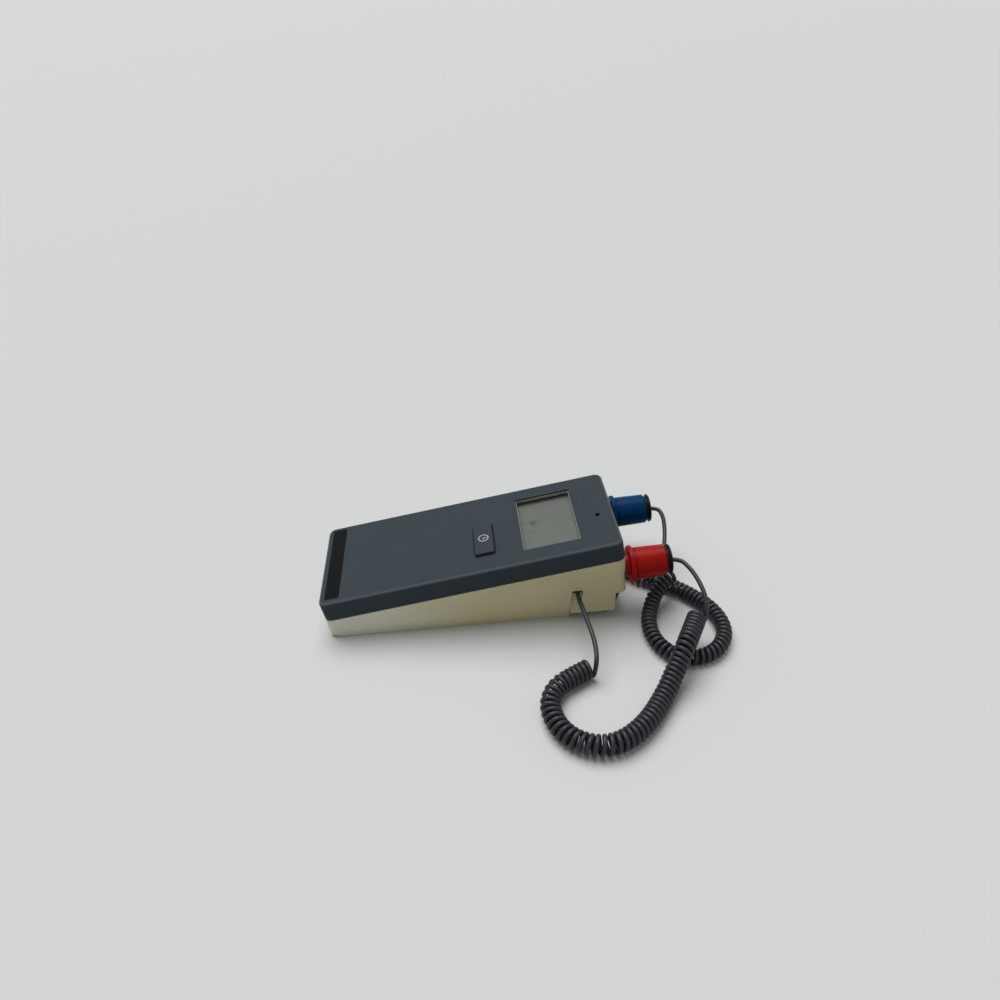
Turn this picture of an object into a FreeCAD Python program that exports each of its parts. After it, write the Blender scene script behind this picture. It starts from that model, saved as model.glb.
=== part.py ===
import FreeCAD, Part
import math
import os
from FreeCAD import Vector as V

# Two-probe electronic clinical thermometer: a wedge-shaped hand unit whose two probes
# stand in wells at the high end, each on a curly cord that leaves by a slot in the side.
# Millimetres.  X runs from the low front end to the probe end, Y to the far side, Z up.

# Housing
CASE_L = 190.8          # length of the cover along its own sloping face
CASE_W = 78.0
TOP_TILT = 10.0         # slope of the top face, degrees
MID_TILT = 5.0          # slope of the wells and of the flank crease, degrees
FRONT_H = 27.8          # height of the top face at the front end
COVER_D = 14.2          # depth of the cover's skirt
WALL = 2.4
FLOOR = 2.5
CORNER_R = 5.0
EDGE_R = 2.2
LIP_T = 1.1             # tongue on the lower case's rim
LIP_H = 1.6
LIP_GAP = 0.1
SHADOW = 0.6            # groove round the parting line
CREASE_Q = 3.9          # flank crease, above the mid plane
FLANK = 12.0            # lean of the flanks below the crease, degrees
FLANK_H = 20.0
TOE_H = 2.8             # the front wall stops this high above the table
FOOT_FRONT = 13.0       # where the flat base begins
STEP_END = 34.0         # from the end of the flat base to the probe end
STEP_X = CASE_L - STEP_END
SEAM = 0.2
HOOK_W = 8.0            # hooks of the cover in the end wall
HOOK_T = 1.8

# Rear bay, with the cord slots
RIM_Z = 20.6            # lower rim of the case over the bay
BAY_SHORT = 4.8         # the bay cover stops this far from the probe end
BAY_END = CASE_L - BAY_SHORT
BAY_LIFT = 5.0          # the bay cover's clearance above the table
BAY_INSET = 0.4
BAY_WALL = 2.2
SLOT_STEP = 4.1         # slot behind the step
SLOT_X = STEP_X + SLOT_STEP
SLOT_W = 7.0
SLOT_H = 3.9
RAMP_D = 4.6            # depth of the cord ramp at its top
CATCH_IN = 6.5
CATCH_X = BAY_END - CATCH_IN
CATCH_W = 2.8
CATCH_H = 1.6
SHELF_T = 2.0
SHELF_L = 9.0
SHELF_W = 22.0
SHELF_Y = 19.0
BAY_BOSS_X = 5.0        # fixing bosses behind the step
BAY_BOSS_Y = 5.0
BAY_PAD_W = 17.0
BARB_Y = 12.0
BARB_W = 6.0

# Display, button, sound hole and label strip, on the top face
WIN_END = 23.8          # from the window to the probe end
WIN_L = 37.0
WIN_U = CASE_L - WIN_END - WIN_L
WIN_W = 54.0
WIN_BEVEL = 0.4
PANE_EDGE = 3.0
PANE_T = 1.5
LCD_LAP = 1.2           # the panel reaches this far under the edge of the opening
LCD_L = WIN_L + 2 * LCD_LAP
LCD_W = WIN_W + 2 * LCD_LAP
LCD_T = 2.8
LCD_DROP = 0.6
LCD_LEDGE = 1.5
ZEBRA_W = 2.4
BTN_STEP = 17.5         # from the button to the window
BTN_L = 11.9
BTN_U = WIN_U - BTN_STEP - BTN_L
BTN_V = -9.2
BTN_W = 29.5
BTN_PROUD = 2.0
BTN_GAP = 0.6
BTN_TRAVEL = 0.8
BTN_RIM = 1.5
HOLE_END = 10.3
HOLE_U = CASE_L - HOLE_END
HOLE_V = -7.0
HOLE_L = 2.7
HOLE_W = 3.0
STRIP_U = 4.0
STRIP_L = 9.0
STRIP_W = 70.0
STRIP_T = 0.3

# Circuit board and what stands on it
PCB_END = 5.0           # from the board to the probe end
PCB_L = 121.8
PCB_U = CASE_L - PCB_END - PCB_L
PCB_W = 66.0
PCB_T = 1.6
PCB_DEEP = 10.0            # top of the board, below the top face
POST_D = 6.0
POST_V = 19.0
POST_END = 4.5
FAR_POST_V = 15.0
FAR_POST_GAP = 0.9      # between the display holder and a far post
CPU_L = 14.0
CPU_W = 50.0
CPU_H = 4.0
AMP_L = 7.0
AMP_W = 20.0
CAN_L = 4.6
CAN_W = 11.0
CAN_H = 4.0
CAP_DIA = 6.0
CAP_H = 7.0
BEEP_D = 11.0
BEEP_H = 6.6
SWITCH_W = 6.0
SWITCH_H = 2.0
KEY_D = 3.4

# Probe wells and probes
WELL_SIDE = 11.1        # well axis in from the side of the case
WELL_Y = CASE_W / 2 - WELL_SIDE
WELL_Q = 16.8           # well axis above the mid plane
MOUTH_D = 19.0
MOUTH_DEEP = 14.0
WELL_D = 10.6
WELL_BORE = 7.6
SENSOR_L = 8.0
SENSOR_W = 6.0
SENSOR_H = 3.0
SENSOR_BACK = 16.0      # behind the mouth's floor
SENSOR_FIT = 0.05
NECK_D = 15.3
NECK_L = 10.0
NECK_GAP = 0.3
SEAT_GAP = 3.3          # bare neck between the case and the flange
FLANGE_D = 23.7
FLANGE_T = 3.0
GROOVE_W = 1.2
GROOVE_D = 19.0
GRIP_D = 20.4
GRIP_END_D = 19.6
GRIP_L = 19.1
BULK_T = 7.0            # solid length behind the flange
DISC_D = 19.0
DISC_T = 1.5
EJECT = 1.6             # travel of the eject button
EJECT_REST = 1.8
PLUNGER_D = 16.4
PLUNGER_L = 8.0
CUP_BORE = 11.2
PRONG_D = 2.2
PRONG_R = 5.7
SLIDE_GAP = 0.3
STEM_D = 4.8
STEM_L = 100.0
STEM_HELD = 14.0
STEM_FIT = 0.03
TIP_L = 6.0
CLAMP_D = 6.0
CLAMP_L = 6.0
SPRING_D = 7.6          # mean diameter
SPRING_WIRE = 0.8
SPRING_TURNS = 5

# Battery
CELL_D = 14.2
CELL_L = 49.2
NUB_D = 5.5
NUB_L = 1.0
CELL_N = 3
CELL_PITCH = 16.0
CELL_STEP = 46.8        # first cell in front of the step
CELL_X = STEP_X - CELL_STEP
CELL_LIFT = 0.7         # cells above the door
PLATE_T = 0.5
TRAY_T = 3.6
TRAY_H = 12.0
DOOR_T = 2.0
DOOR_LIFT = 0.3
DOOR_L = 58.8
DOOR_X = STEP_X - DOOR_L
DOOR_GAP = 0.15
TONGUE = 1.5
TONGUE_T = 1.1

# Screws
SCREW_D = 3.0
HEAD_D = 5.4
HEAD_H = 2.0
PILLAR_D = 8.0
BOSS_D = 7.0
FRONT_SCREW_X = 17.0
MID_SCREW_END = 134.8
MID_SCREW_X = CASE_L - MID_SCREW_END
SCREW_SIDE = 10.5
SCREW_Y = CASE_W / 2 - SCREW_SIDE
GRIP_IN = 8.0           # thread length in the upper boss
SMALL_D = 2.4
SMALL_HEAD = 4.4

# Cords
WIRE_D = 2.8
RED_TURNS = 45.5
BLUE_TURNS = 48.0
RED_COIL_R = 4.8
BLUE_COIL_R = 3.7
PLUG_W = 7.0
PLUG_L = 11.0
PLUG_H = 4.4
SOCKET_L = 9.0

NODES = {}


def box(x0, x1, y0, y1, z0, z1):
    return Part.makeBox(x1 - x0, y1 - y0, z1 - z0, V(x0, y0, z0))


def outline(x0, x1, y0, y1, r, z):
    k = r * (1 - math.sqrt(0.5))
    pts = [V(x0 + r, y0, z), V(x1 - r, y0, z), V(x1 - k, y0 + k, z), V(x1, y0 + r, z),
           V(x1, y1 - r, z), V(x1 - k, y1 - k, z), V(x1 - r, y1, z), V(x0 + r, y1, z),
           V(x0 + k, y1 - k, z), V(x0, y1 - r, z), V(x0, y0 + r, z), V(x0 + k, y0 + k, z)]
    edges = []
    for i in range(0, 12, 3):
        edges.append(Part.LineSegment(pts[i], pts[i + 1]).toShape())
        edges.append(Part.Arc(pts[i + 1], pts[i + 2], pts[(i + 3) % 12]).toShape())
    return Part.Wire(edges)


def slab(x0, x1, y0, y1, z0, z1, r):
    return Part.Face(outline(x0, x1, y0, y1, r, z0)).extrude(V(0, 0, z1 - z0))


def rod(d, x, y, z0, z1):
    return Part.makeCylinder(d / 2, z1 - z0, V(x, y, z0))


def bar(d, s0, s1, y=0.0, z=0.0):
    return Part.makeCylinder(d / 2, s1 - s0, V(s0, y, z), V(1, 0, 0))


def turned(profile):
    """Solid of revolution about X from (x, radius) points."""
    pts = [V(x, 0, r) for x, r in profile]
    return Part.Face(Part.makePolygon(pts + pts[:1])).revolve(V(0, 0, 0), V(1, 0, 0), 360)


def join(first, *rest):
    return first.fuse(list(rest)).removeSplitter()


def trim(shape, *tools):
    return shape.cut(list(tools))


def cover_place(shape):
    """From the top face's own axes to the table."""
    s = shape.copy()
    s.rotate(V(0, 0, 0), V(0, 1, 0), -TOP_TILT)
    s.translate(V(0, 0, FRONT_H))
    return s


def mid_place(shape):
    """From the axes of the wells' plane to the table."""
    s = shape.copy()
    s.rotate(V(0, 0, 0), V(0, 1, 0), -MID_TILT)
    return s


def on_cover(u, v, n):
    c = Part.Vertex(u, v, n)
    return cover_place(c).Point


def top_z(x, n):
    """Height above the table of the plane n below the top face, at x."""
    a = math.radians(TOP_TILT)
    return FRONT_H + x * math.tan(a) - n / math.cos(a)


def mid_of(point):
    a = math.radians(MID_TILT)
    return point.x * math.cos(a) + point.z * math.sin(a)


HALF = CASE_W / 2
P0 = mid_of(on_cover(0, 0, -COVER_D))
P1 = mid_of(on_cover(CASE_L, 0, -COVER_D))
BIG = 4 * CASE_L

# Top cover: a shell with a rounded top edge, open below
shell = slab(0, CASE_L, -HALF, HALF, -COVER_D, 0, CORNER_R)
rim = [e for e in shell.Edges if abs(e.BoundBox.ZMin) < 1e-6 and abs(e.BoundBox.ZMax) < 1e-6]
shell = shell.makeFillet(EDGE_R, rim)
inner = slab(WALL, CASE_L - WALL, WALL - HALF, HALF - WALL, -COVER_D - 1, -WALL, CORNER_R - WALL)
rebate_in = WALL - LIP_T - LIP_GAP
rebate = slab(rebate_in, CASE_L - rebate_in, rebate_in - HALF, HALF - rebate_in,
              -COVER_D - 1, -COVER_D + LIP_H + LIP_GAP, CORNER_R - rebate_in)
band = trim(slab(-1, CASE_L + 1, -HALF - 1, HALF + 1, -COVER_D - 1, -COVER_D + SHADOW, CORNER_R),
            slab(SHADOW, CASE_L - SHADOW, SHADOW - HALF, HALF - SHADOW,
                 -COVER_D - 2, 0, CORNER_R - SHADOW))
shell = trim(shell, inner, rebate, band)

win_u1 = WIN_U + WIN_L
aperture = Part.makeLoft([outline(WIN_U + WIN_BEVEL, win_u1 - WIN_BEVEL, WIN_BEVEL - WIN_W / 2,
                                  WIN_W / 2 - WIN_BEVEL, 0.6, -WALL - 0.01),
                          outline(WIN_U, win_u1, -WIN_W / 2, WIN_W / 2, 1.0, 0.01)], True, True)
btn_u1 = BTN_U + BTN_L
btn_v0 = BTN_V - BTN_W / 2
btn_v1 = BTN_V + BTN_W / 2
btn_hole = slab(BTN_U - BTN_GAP, btn_u1 + BTN_GAP, btn_v0 - BTN_GAP, btn_v1 + BTN_GAP, -WALL - 1, 1, 0.8)
sound = box(HOLE_U - HOLE_L / 2, HOLE_U + HOLE_L / 2, HOLE_V - HOLE_W / 2, HOLE_V + HOLE_W / 2, -WALL - 1, 1)
strip_pocket = slab(STRIP_U - SEAM, STRIP_U + STRIP_L + SEAM, -STRIP_W / 2 - SEAM, STRIP_W / 2 + SEAM,
                    -STRIP_T, 1, 0.8)
shell = trim(shell, aperture, btn_hole, sound, strip_pocket)

posts = []
pilots = []
far_post_u = win_u1 + LCD_LAP + LCD_LEDGE + FAR_POST_GAP + POST_D / 2
near_post_u = PCB_U + POST_END
POSTS = [(near_post_u, -POST_V), (near_post_u, POST_V), (far_post_u, -FAR_POST_V), (far_post_u, FAR_POST_V)]
for u, v in POSTS:
    posts.append(rod(POST_D, u, v, -PCB_DEEP, -WALL))
    pilots.append(rod(SMALL_D, u, v, -PCB_DEEP - 1, -WALL - 1))
for v in (-HALF / 2, HALF / 2):
    posts.append(box(STRIP_U + STRIP_L + 4, PCB_U - 6, v - 0.7, v + 0.7, -WALL - 3, -WALL))
cover = join(cover_place(shell), *[cover_place(s) for s in posts])

inside = cover_place(slab(WALL / 2, CASE_L - WALL / 2, WALL / 2 - HALF, HALF - WALL / 2,
                          -COVER_D, -WALL / 2, CORNER_R - WALL))
SCREWS = [(x, y) for x in (FRONT_SCREW_X, MID_SCREW_X) for y in (-SCREW_Y, SCREW_Y)]
for x, y in SCREWS:
    cover = join(cover, rod(BOSS_D, x, y, 0, BIG / 4).common(inside))
    foot = top_z(x, COVER_D)
    cover = trim(cover, rod(SCREW_D, x, y, 0, foot + GRIP_IN + 0.5))
hook_v = HALF / 4
for v in (-hook_v, hook_v):
    u1 = CASE_L - WALL - SEAM
    v0 = v - HOOK_W / 2
    v1 = v + HOOK_W / 2
    arm = box(u1 - HOOK_T, u1, v0, v1, -COVER_D - 4, -WALL)
    barb = box(u1 - 1.0, u1 + 1.0, v0, v1, -COVER_D - 4, -COVER_D - 2.6)
    root = box(u1 - HOOK_T, CASE_L - WALL / 2, v0, v1, -COVER_D + 4, -WALL)
    cover = join(cover, cover_place(join(arm, barb, root)))
NODES["top_cover"] = trim(cover, *[cover_place(s) for s in pilots])

NODES["label_strip"] = cover_place(slab(STRIP_U, STRIP_U + STRIP_L, -STRIP_W / 2, STRIP_W / 2,
                                        -STRIP_T, 0.0, 0.6))

# Display: pane under the cover, glass panel in a holder on the board, two contact strips
pane_n = -WALL - PANE_T
NODES["display_window"] = cover_place(slab(WIN_U - PANE_EDGE, win_u1 + PANE_EDGE, -WIN_W / 2 - PANE_EDGE,
                                           WIN_W / 2 + PANE_EDGE, pane_n, -WALL, 1.0))
lcd_u0 = WIN_U + (WIN_L - LCD_L) / 2
lcd_u1 = lcd_u0 + LCD_L
lcd_top = pane_n - LCD_DROP
lcd_bot = lcd_top - LCD_T
NODES["lcd_panel"] = cover_place(box(lcd_u0, lcd_u1, -LCD_W / 2, LCD_W / 2, lcd_bot, lcd_top))
lcd_v = LCD_W / 2
frame = box(lcd_u0 - LCD_LEDGE, lcd_u1 + LCD_LEDGE, -lcd_v - LCD_LEDGE, lcd_v + LCD_LEDGE, -PCB_DEEP, pane_n)
frame = trim(frame, box(lcd_u0 - SEAM, lcd_u1 + SEAM, -LCD_W / 2 - SEAM, LCD_W / 2 + SEAM, lcd_bot, 0),
             box(lcd_u0 + LCD_LEDGE, lcd_u1 - LCD_LEDGE, LCD_LEDGE - lcd_v, lcd_v - LCD_LEDGE,
                 -PCB_DEEP - 1, 0))
NODES["lcd_holder"] = cover_place(frame)
zebras = [box(u, u + ZEBRA_W, LCD_LEDGE + SEAM - LCD_W / 2, LCD_W / 2 - LCD_LEDGE - SEAM, -PCB_DEEP, lcd_bot)
          for u in (lcd_u0 + LCD_LEDGE + SEAM, lcd_u1 - LCD_LEDGE - SEAM - ZEBRA_W)]
NODES["lcd_contact_strips"] = Part.Compound([cover_place(s) for s in zebras])

# Circuit board on four posts under the cover
board = slab(PCB_U, PCB_U + PCB_L, -PCB_W / 2, PCB_W / 2, -PCB_DEEP - PCB_T, -PCB_DEEP, 2.0)
board = trim(board, *[rod(SMALL_D + 0.2, u, v, -PCB_DEEP - 5, 0) for u, v in POSTS])
NODES["circuit_board"] = cover_place(board)
under = -PCB_DEEP - PCB_T
fixings = [join(rod(SMALL_D - 0.2, u, v, under, -PCB_DEEP + 5), rod(SMALL_HEAD, u, v, under - 1.6, under))
           for u, v in POSTS]
NODES["board_screws"] = Part.Compound([cover_place(s) for s in fixings])


def chip(u, v, length, width, height, pins):
    """Dual-in-line package: body with a notch and two rows of legs."""
    body = box(u, u + length, v, v + width, -PCB_DEEP + 0.6, -PCB_DEEP + height)
    body = trim(body, rod(2.0, u + length / 2, v, -PCB_DEEP + height - 0.6, 0))
    step = width / pins
    legs = []
    for i in range(pins):
        w = v + step * (i + 0.5)
        for a in (u - 0.6, u + length - 0.4):
            legs.append(box(a, a + 1.0, w - 0.4, w + 0.4, -PCB_DEEP, -PCB_DEEP + height / 2))
    return cover_place(join(body, *legs))


cpu_u = PCB_U + 9
NODES["processor_chip"] = chip(cpu_u, BTN_V - CPU_W / 4, CPU_L, CPU_W * 0.9, CPU_H, 8)
NODES["amplifier_chip"] = chip(cpu_u + CPU_L + 5, btn_v1 + 6, AMP_L, AMP_W, CPU_H, 5)
can_u = cpu_u + CPU_L + 4
can = slab(can_u, can_u + CAN_L, btn_v0 + 3, btn_v0 + 3 + CAN_W, -PCB_DEEP, CAN_H - PCB_DEEP, 2.0)
NODES["crystal"] = cover_place(can)
caps = [rod(CAP_DIA, btn_u1 + 7, btn_v1 + d, -PCB_DEEP, -PCB_DEEP + CAP_H) for d in (5.0, 13.0)]
NODES["capacitors"] = Part.Compound([cover_place(s) for s in caps])
beep = trim(rod(BEEP_D, HOLE_U, HOLE_V, -PCB_DEEP, -PCB_DEEP + BEEP_H),
            rod(2.0, HOLE_U, HOLE_V, -PCB_DEEP + BEEP_H - 1.5, 0))
NODES["beeper"] = cover_place(beep)

# Push button with its rubber dome and switch
btn_u = BTN_U + BTN_L / 2
key = slab(BTN_U, btn_u1, btn_v0, btn_v1, -WALL - 1.2, BTN_PROUD, 0.5)
crown = [e for e in key.Edges if abs(e.BoundBox.ZMin - BTN_PROUD) < 1e-6]
key = key.makeFillet(0.45, crown)
skirt_n = -WALL - BTN_GAP / 2
skirt = slab(BTN_U - BTN_RIM, btn_u1 + BTN_RIM, btn_v0 - BTN_RIM, btn_v1 + BTN_RIM, skirt_n - 1.0, skirt_n, 0.8)
foot_n = skirt_n - 2.6
NODES["timer_button"] = cover_place(join(key, skirt, rod(7.0, btn_u, BTN_V, foot_n, skirt_n)))
SWITCH_TOP = foot_n - BTN_TRAVEL - 0.3
tact = join(box(btn_u - SWITCH_W / 2, btn_u + SWITCH_W / 2, BTN_V - SWITCH_W / 2, BTN_V + SWITCH_W / 2,
                -PCB_DEEP, -PCB_DEEP + SWITCH_H), rod(KEY_D, btn_u, BTN_V, -PCB_DEEP, SWITCH_TOP))
NODES["button_switch"] = cover_place(tact)
dome_h = foot_n + PCB_DEEP
dome = trim(Part.makeCone(6.6, 4.4, dome_h, V(btn_u, BTN_V, -PCB_DEEP)),
            Part.makeCone(5.8, 3.4, dome_h - 0.8, V(btn_u, BTN_V, -PCB_DEEP)),
            rod(KEY_D + 0.6, btn_u, BTN_V, -PCB_DEEP, foot_n - 0.6))
NODES["button_dome"] = cover_place(dome)


def toe(lift):
    """Everything under the sloping toe, raised by lift."""
    x0 = P0 - TOE_H
    rise = TOE_H / (FOOT_FRONT - P0)
    pts = [V(x0 - 40, -BIG / 2, lift + rise * (FOOT_FRONT - x0 + 40)), V(FOOT_FRONT, -BIG / 2, lift),
           V(BIG, -BIG / 2, lift), V(BIG, -BIG / 2, -BIG), V(x0 - 40, -BIG / 2, -BIG)]
    return Part.Face(Part.makePolygon(pts + pts[:1])).extrude(V(0, BIG, 0))


def wedge(inset, lift):
    """The lower case as a block: upright walls to the crease, then leaning flanks to the base."""
    half = HALF - inset
    low = half - FLANK_H * math.tan(math.radians(FLANK))
    r = CORNER_R - inset
    crease = outline(P0 + inset, P1 - inset, -half, half, r, CREASE_Q)
    hem = outline(P0 + inset, P1 - inset, -low, low, r, CREASE_Q - FLANK_H)
    upper = Part.Face(crease).extrude(V(0, 0, CASE_L))
    body = mid_place(join(upper, Part.makeLoft([hem, crease], True, True)))
    above = cover_place(box(-BIG, BIG, -BIG, BIG, -COVER_D, BIG))
    return trim(body, above, toe(lift))


def well_x(p):
    """Centre of a well at distance p along it, on the table's axes."""
    return mid_place(Part.Vertex(p, WELL_Y, WELL_Q)).Point


# Lower case: shell, base, bay, saddles for the wells, battery tray and pillars
boss_x = STEP_X + BAY_BOSS_X
WELL_P = P1 - (NECK_L + STEM_L + TIP_L + 5.0)
step_wall = box(STEP_X - WALL, STEP_X, -BIG, BIG, -BIG, RIM_Z + 2)
end_ledge = box(BAY_END + SEAM, BIG, -BIG, BIG, -BIG, RIM_Z + WALL)
hollow = trim(wedge(WALL, FLOOR), step_wall, end_ledge)
case = trim(wedge(0.0, 0.0), hollow, box(STEP_X, BIG, -BIG, BIG, -BIG, RIM_Z))
tongue = trim(slab(WALL - LIP_T, CASE_L - WALL + LIP_T, WALL - LIP_T - HALF, HALF - WALL + LIP_T,
                   -COVER_D - 1, -COVER_D + LIP_H, CORNER_R - WALL + LIP_T),
              slab(WALL, CASE_L - WALL, WALL - HALF, HALF - WALL, -COVER_D - 2, 0, CORNER_R - WALL))
case = join(case, cover_place(tongue))
void = wedge(WALL / 2, 0.0)

for side in (-1, 1):
    wy = side * WELL_Y
    y0 = min(side * (WELL_Y - WELL_D), side * HALF)
    y1 = max(side * (WELL_Y - WELL_D), side * HALF)
    for x in (DOOR_X - 6, STEP_X - WALL):
        seat = well_x(x).z
        case = join(case, box(x, x + WALL, y0, y1, FLOOR / 2, seat).common(void))
    shelf_y = side * SHELF_Y
    case = join(case, box(STEP_X - WALL / 2, STEP_X + SHELF_L, shelf_y - SHELF_W / 2, shelf_y + SHELF_W / 2,
                          RIM_Z - SHELF_T, RIM_Z))
cell_z = DOOR_LIFT + DOOR_T + CELL_LIFT + CELL_D / 2
cell_y = CELL_L / 2 + NUB_L
tray_x0 = CELL_X - CELL_D / 2 - 1.0
tray_x1 = CELL_X + (CELL_N - 1) * CELL_PITCH + CELL_D / 2 + 1.0
for side in (-1, 1):
    a = side * (cell_y + PLATE_T)
    b = side * (cell_y + PLATE_T + TRAY_T)
    case = join(case, box(tray_x0, tray_x1, min(a, b), max(a, b), FLOOR - 0.05, FLOOR + TRAY_H))
for x, y in SCREWS:
    case = join(case, rod(PILLAR_D, x, y, FLOOR / 2, BIG / 4).common(void))
for side in (-1, 1):
    case = join(case, rod(BOSS_D, boss_x, side * BAY_BOSS_Y, BAY_LIFT + BAY_WALL + SEAM, RIM_Z))
case = join(case, box(STEP_X - WALL / 2, boss_x, -BAY_PAD_W / 2, BAY_PAD_W / 2,
                      BAY_LIFT + BAY_WALL + SEAM, RIM_Z))

door_half = cell_y + PLATE_T + 0.6
holes = [box(DOOR_X - DOOR_GAP, BIG, -door_half - DOOR_GAP, door_half + DOOR_GAP, -BIG, FLOOR),
         box(DOOR_X - DOOR_GAP, BIG, -door_half - TONGUE - DOOR_GAP, door_half + TONGUE + DOOR_GAP,
             DOOR_LIFT + DOOR_T - TONGUE_T - DOOR_GAP, DOOR_LIFT + DOOR_T + DOOR_GAP)]
holes = [h.common(box(-BIG, STEP_X + 0.01, -BIG, BIG, -BIG, BIG)) for h in holes]
for side in (-1, 1):
    y = side * WELL_Y
    holes.append(mid_place(bar(WELL_D + 0.04, WELL_P, P1 - 2 * MOUTH_DEEP, y, WELL_Q)))
    holes.append(mid_place(bar(MOUTH_D + 0.1, P1 - 2 * MOUTH_DEEP, P1 + 5, y, WELL_Q)))
    slot = slab(SLOT_X - SLOT_W / 2, SLOT_X + SLOT_W / 2, -SLOT_H, SLOT_H, 0, 2 * WALL, 1.0)
    slot.rotate(V(0, 0, 0), V(1, 0, 0), 90)
    slot.translate(V(0, side * (HALF - WALL / 2) + WALL, RIM_Z))
    holes.append(slot)
    v0 = side * hook_v - HOOK_W / 2 - 2 * SEAM
    v1 = side * hook_v + HOOK_W / 2 + 2 * SEAM
    holes.append(cover_place(box(CASE_L - WALL - 1.0, CASE_L - WALL + 1.2, v0, v1,
                                 -COVER_D - 4.6, -COVER_D - 2.2)))
    holes.append(rod(SCREW_D, boss_x, side * BAY_BOSS_Y, 0, RIM_Z - 3))
for x, y in SCREWS:
    seat = top_z(x, COVER_D) - HEAD_D / 2 - 2.0
    holes.append(rod(SCREW_D + 0.4, x, y, -1, BIG / 4))
    holes.append(rod(HEAD_D + 0.6, x, y, -1, seat))
NODES["lower_case"] = trim(case, *holes)

screws = []
for x, y in SCREWS:
    seat = top_z(x, COVER_D) - HEAD_D / 2 - 2.0
    shank = rod(SCREW_D - 0.1, x, y, seat, top_z(x, COVER_D) + GRIP_IN)
    body = join(shank, rod(HEAD_D, x, y, seat - HEAD_H, seat))
    screws.append(trim(body, box(x - 2, x + 2, y - 0.4, y + 0.4, seat - HEAD_H - 1, seat - HEAD_H + 0.9)))
NODES["case_screws"] = Part.Compound(screws)

# Bay cover: an open tray under the rear of the case with a cord ramp below each slot
bay_x0 = STEP_X + SEAM
bay_y = HALF - BAY_INSET
tray = slab(bay_x0, BAY_END, -bay_y, bay_y, BAY_LIFT, RIM_Z - SEAM, 1.2)
low = [e for e in tray.Edges if e.BoundBox.ZMax < BAY_LIFT + 1e-6]
tray = tray.makeFillet(1.0, low)
tray = trim(tray, box(bay_x0 + BAY_WALL, BAY_END - BAY_WALL, BAY_WALL - bay_y, bay_y - BAY_WALL,
                      BAY_LIFT + BAY_WALL, BIG))
ramp_w = SLOT_W - 0.4
for side in (-1, 1):
    a = side * (bay_y - RAMP_D - BAY_WALL)
    b = side * (bay_y - BAY_WALL / 2)
    tray = join(tray, box(bay_x0 + 0.5, SLOT_X + ramp_w / 2 + BAY_WALL, min(a, b), max(a, b),
                          BAY_LIFT + BAY_WALL / 2, RIM_Z - SEAM))
    x = SLOT_X - ramp_w / 2
    pts = [V(x, side * (bay_y + 1), BAY_LIFT + 1), V(x, side * bay_y, BAY_LIFT + 1),
           V(x, side * (bay_y - RAMP_D), RIM_Z), V(x, side * (bay_y + 1), RIM_Z)]
    tray = trim(tray, Part.Face(Part.makePolygon(pts + pts[:1])).extrude(V(ramp_w, 0, 0)))
    y = side * bay_y
    tray = trim(tray, box(CATCH_X - CATCH_W / 2, CATCH_X + CATCH_W / 2, y - BAY_WALL / 2, y + BAY_WALL / 2,
                          BAY_LIFT - 1, BAY_LIFT + CATCH_H))
    y0 = side * BARB_Y - BARB_W / 2
    y1 = side * BARB_Y + BARB_W / 2
    barb = join(box(BAY_END - BAY_WALL, BAY_END, y0, y1, RIM_Z - 2, RIM_Z + WALL + 1.6),
                box(BAY_END - 0.5, BAY_END + 2.0, y0, y1, RIM_Z + WALL + SEAM, RIM_Z + WALL + 1.6))
    tray = join(tray, barb)
    y0 = side * SHELF_Y - SHELF_W / 2 - SEAM
    y1 = side * SHELF_Y + SHELF_W / 2 + SEAM
    tray = trim(tray, rod(SCREW_D + 0.4, boss_x, side * BAY_BOSS_Y, 0, RIM_Z),
                box(bay_x0 - 1, bay_x0 + BAY_WALL + 1, y0, y1, RIM_Z - SHELF_T - SEAM, RIM_Z + 1))
tray = trim(tray, box(bay_x0 - 1, bay_x0 + BAY_WALL + 1, -BAY_PAD_W / 2 - SEAM, BAY_PAD_W / 2 + SEAM,
                      BAY_LIFT + BAY_WALL, RIM_Z + 1))
NODES["bay_cover"] = tray
bay_screws = []
for y in (-BAY_BOSS_Y, BAY_BOSS_Y):
    shank = rod(SCREW_D - 0.1, boss_x, y, BAY_LIFT, RIM_Z - 4)
    bay_screws.append(join(shank, rod(HEAD_D, boss_x, y, BAY_LIFT - HEAD_H, BAY_LIFT)))
NODES["bay_screws"] = Part.Compound(bay_screws)

# Battery: cells head to tail between two contact plates, over a sliding door
cells = []
for i in range(CELL_N):
    way = 1 if i % 2 == 0 else -1
    r = CELL_D / 2
    cell = turned([(-CELL_L / 2, 0), (-CELL_L / 2, r - 0.6), (0.6 - CELL_L / 2, r), (CELL_L / 2 - 0.8, r),
                   (CELL_L / 2, r - 0.8), (CELL_L / 2, NUB_D / 2), (CELL_L / 2 + NUB_L, NUB_D / 2),
                   (CELL_L / 2 + NUB_L, 0)])
    cell.rotate(V(0, 0, 0), V(0, 0, 1), 90 * way)
    cell.translate(V(CELL_X + i * CELL_PITCH, 0, cell_z))
    cells.append(cell)
NODES["battery_cells"] = Part.Compound(cells)
for name, side in (("near_contacts", -1), ("far_contacts", 1)):
    a = side * cell_y
    b = side * (cell_y + PLATE_T)
    plate = box(tray_x0 + 1, tray_x1 - 1, min(a, b), max(a, b), FLOOR + 1.5, FLOOR + TRAY_H - 0.5)
    for i in range(CELL_N):
        if (i % 2 == 0) == (side < 0):
            bump = Part.makeCone(4.5, 3.0, NUB_L, V(CELL_X + i * CELL_PITCH, a, cell_z), V(0, -side, 0))
            plate = join(plate, bump)
    NODES[name] = plate
door = box(DOOR_X, STEP_X - SEAM, -door_half, door_half, DOOR_LIFT, DOOR_LIFT + DOOR_T)
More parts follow.
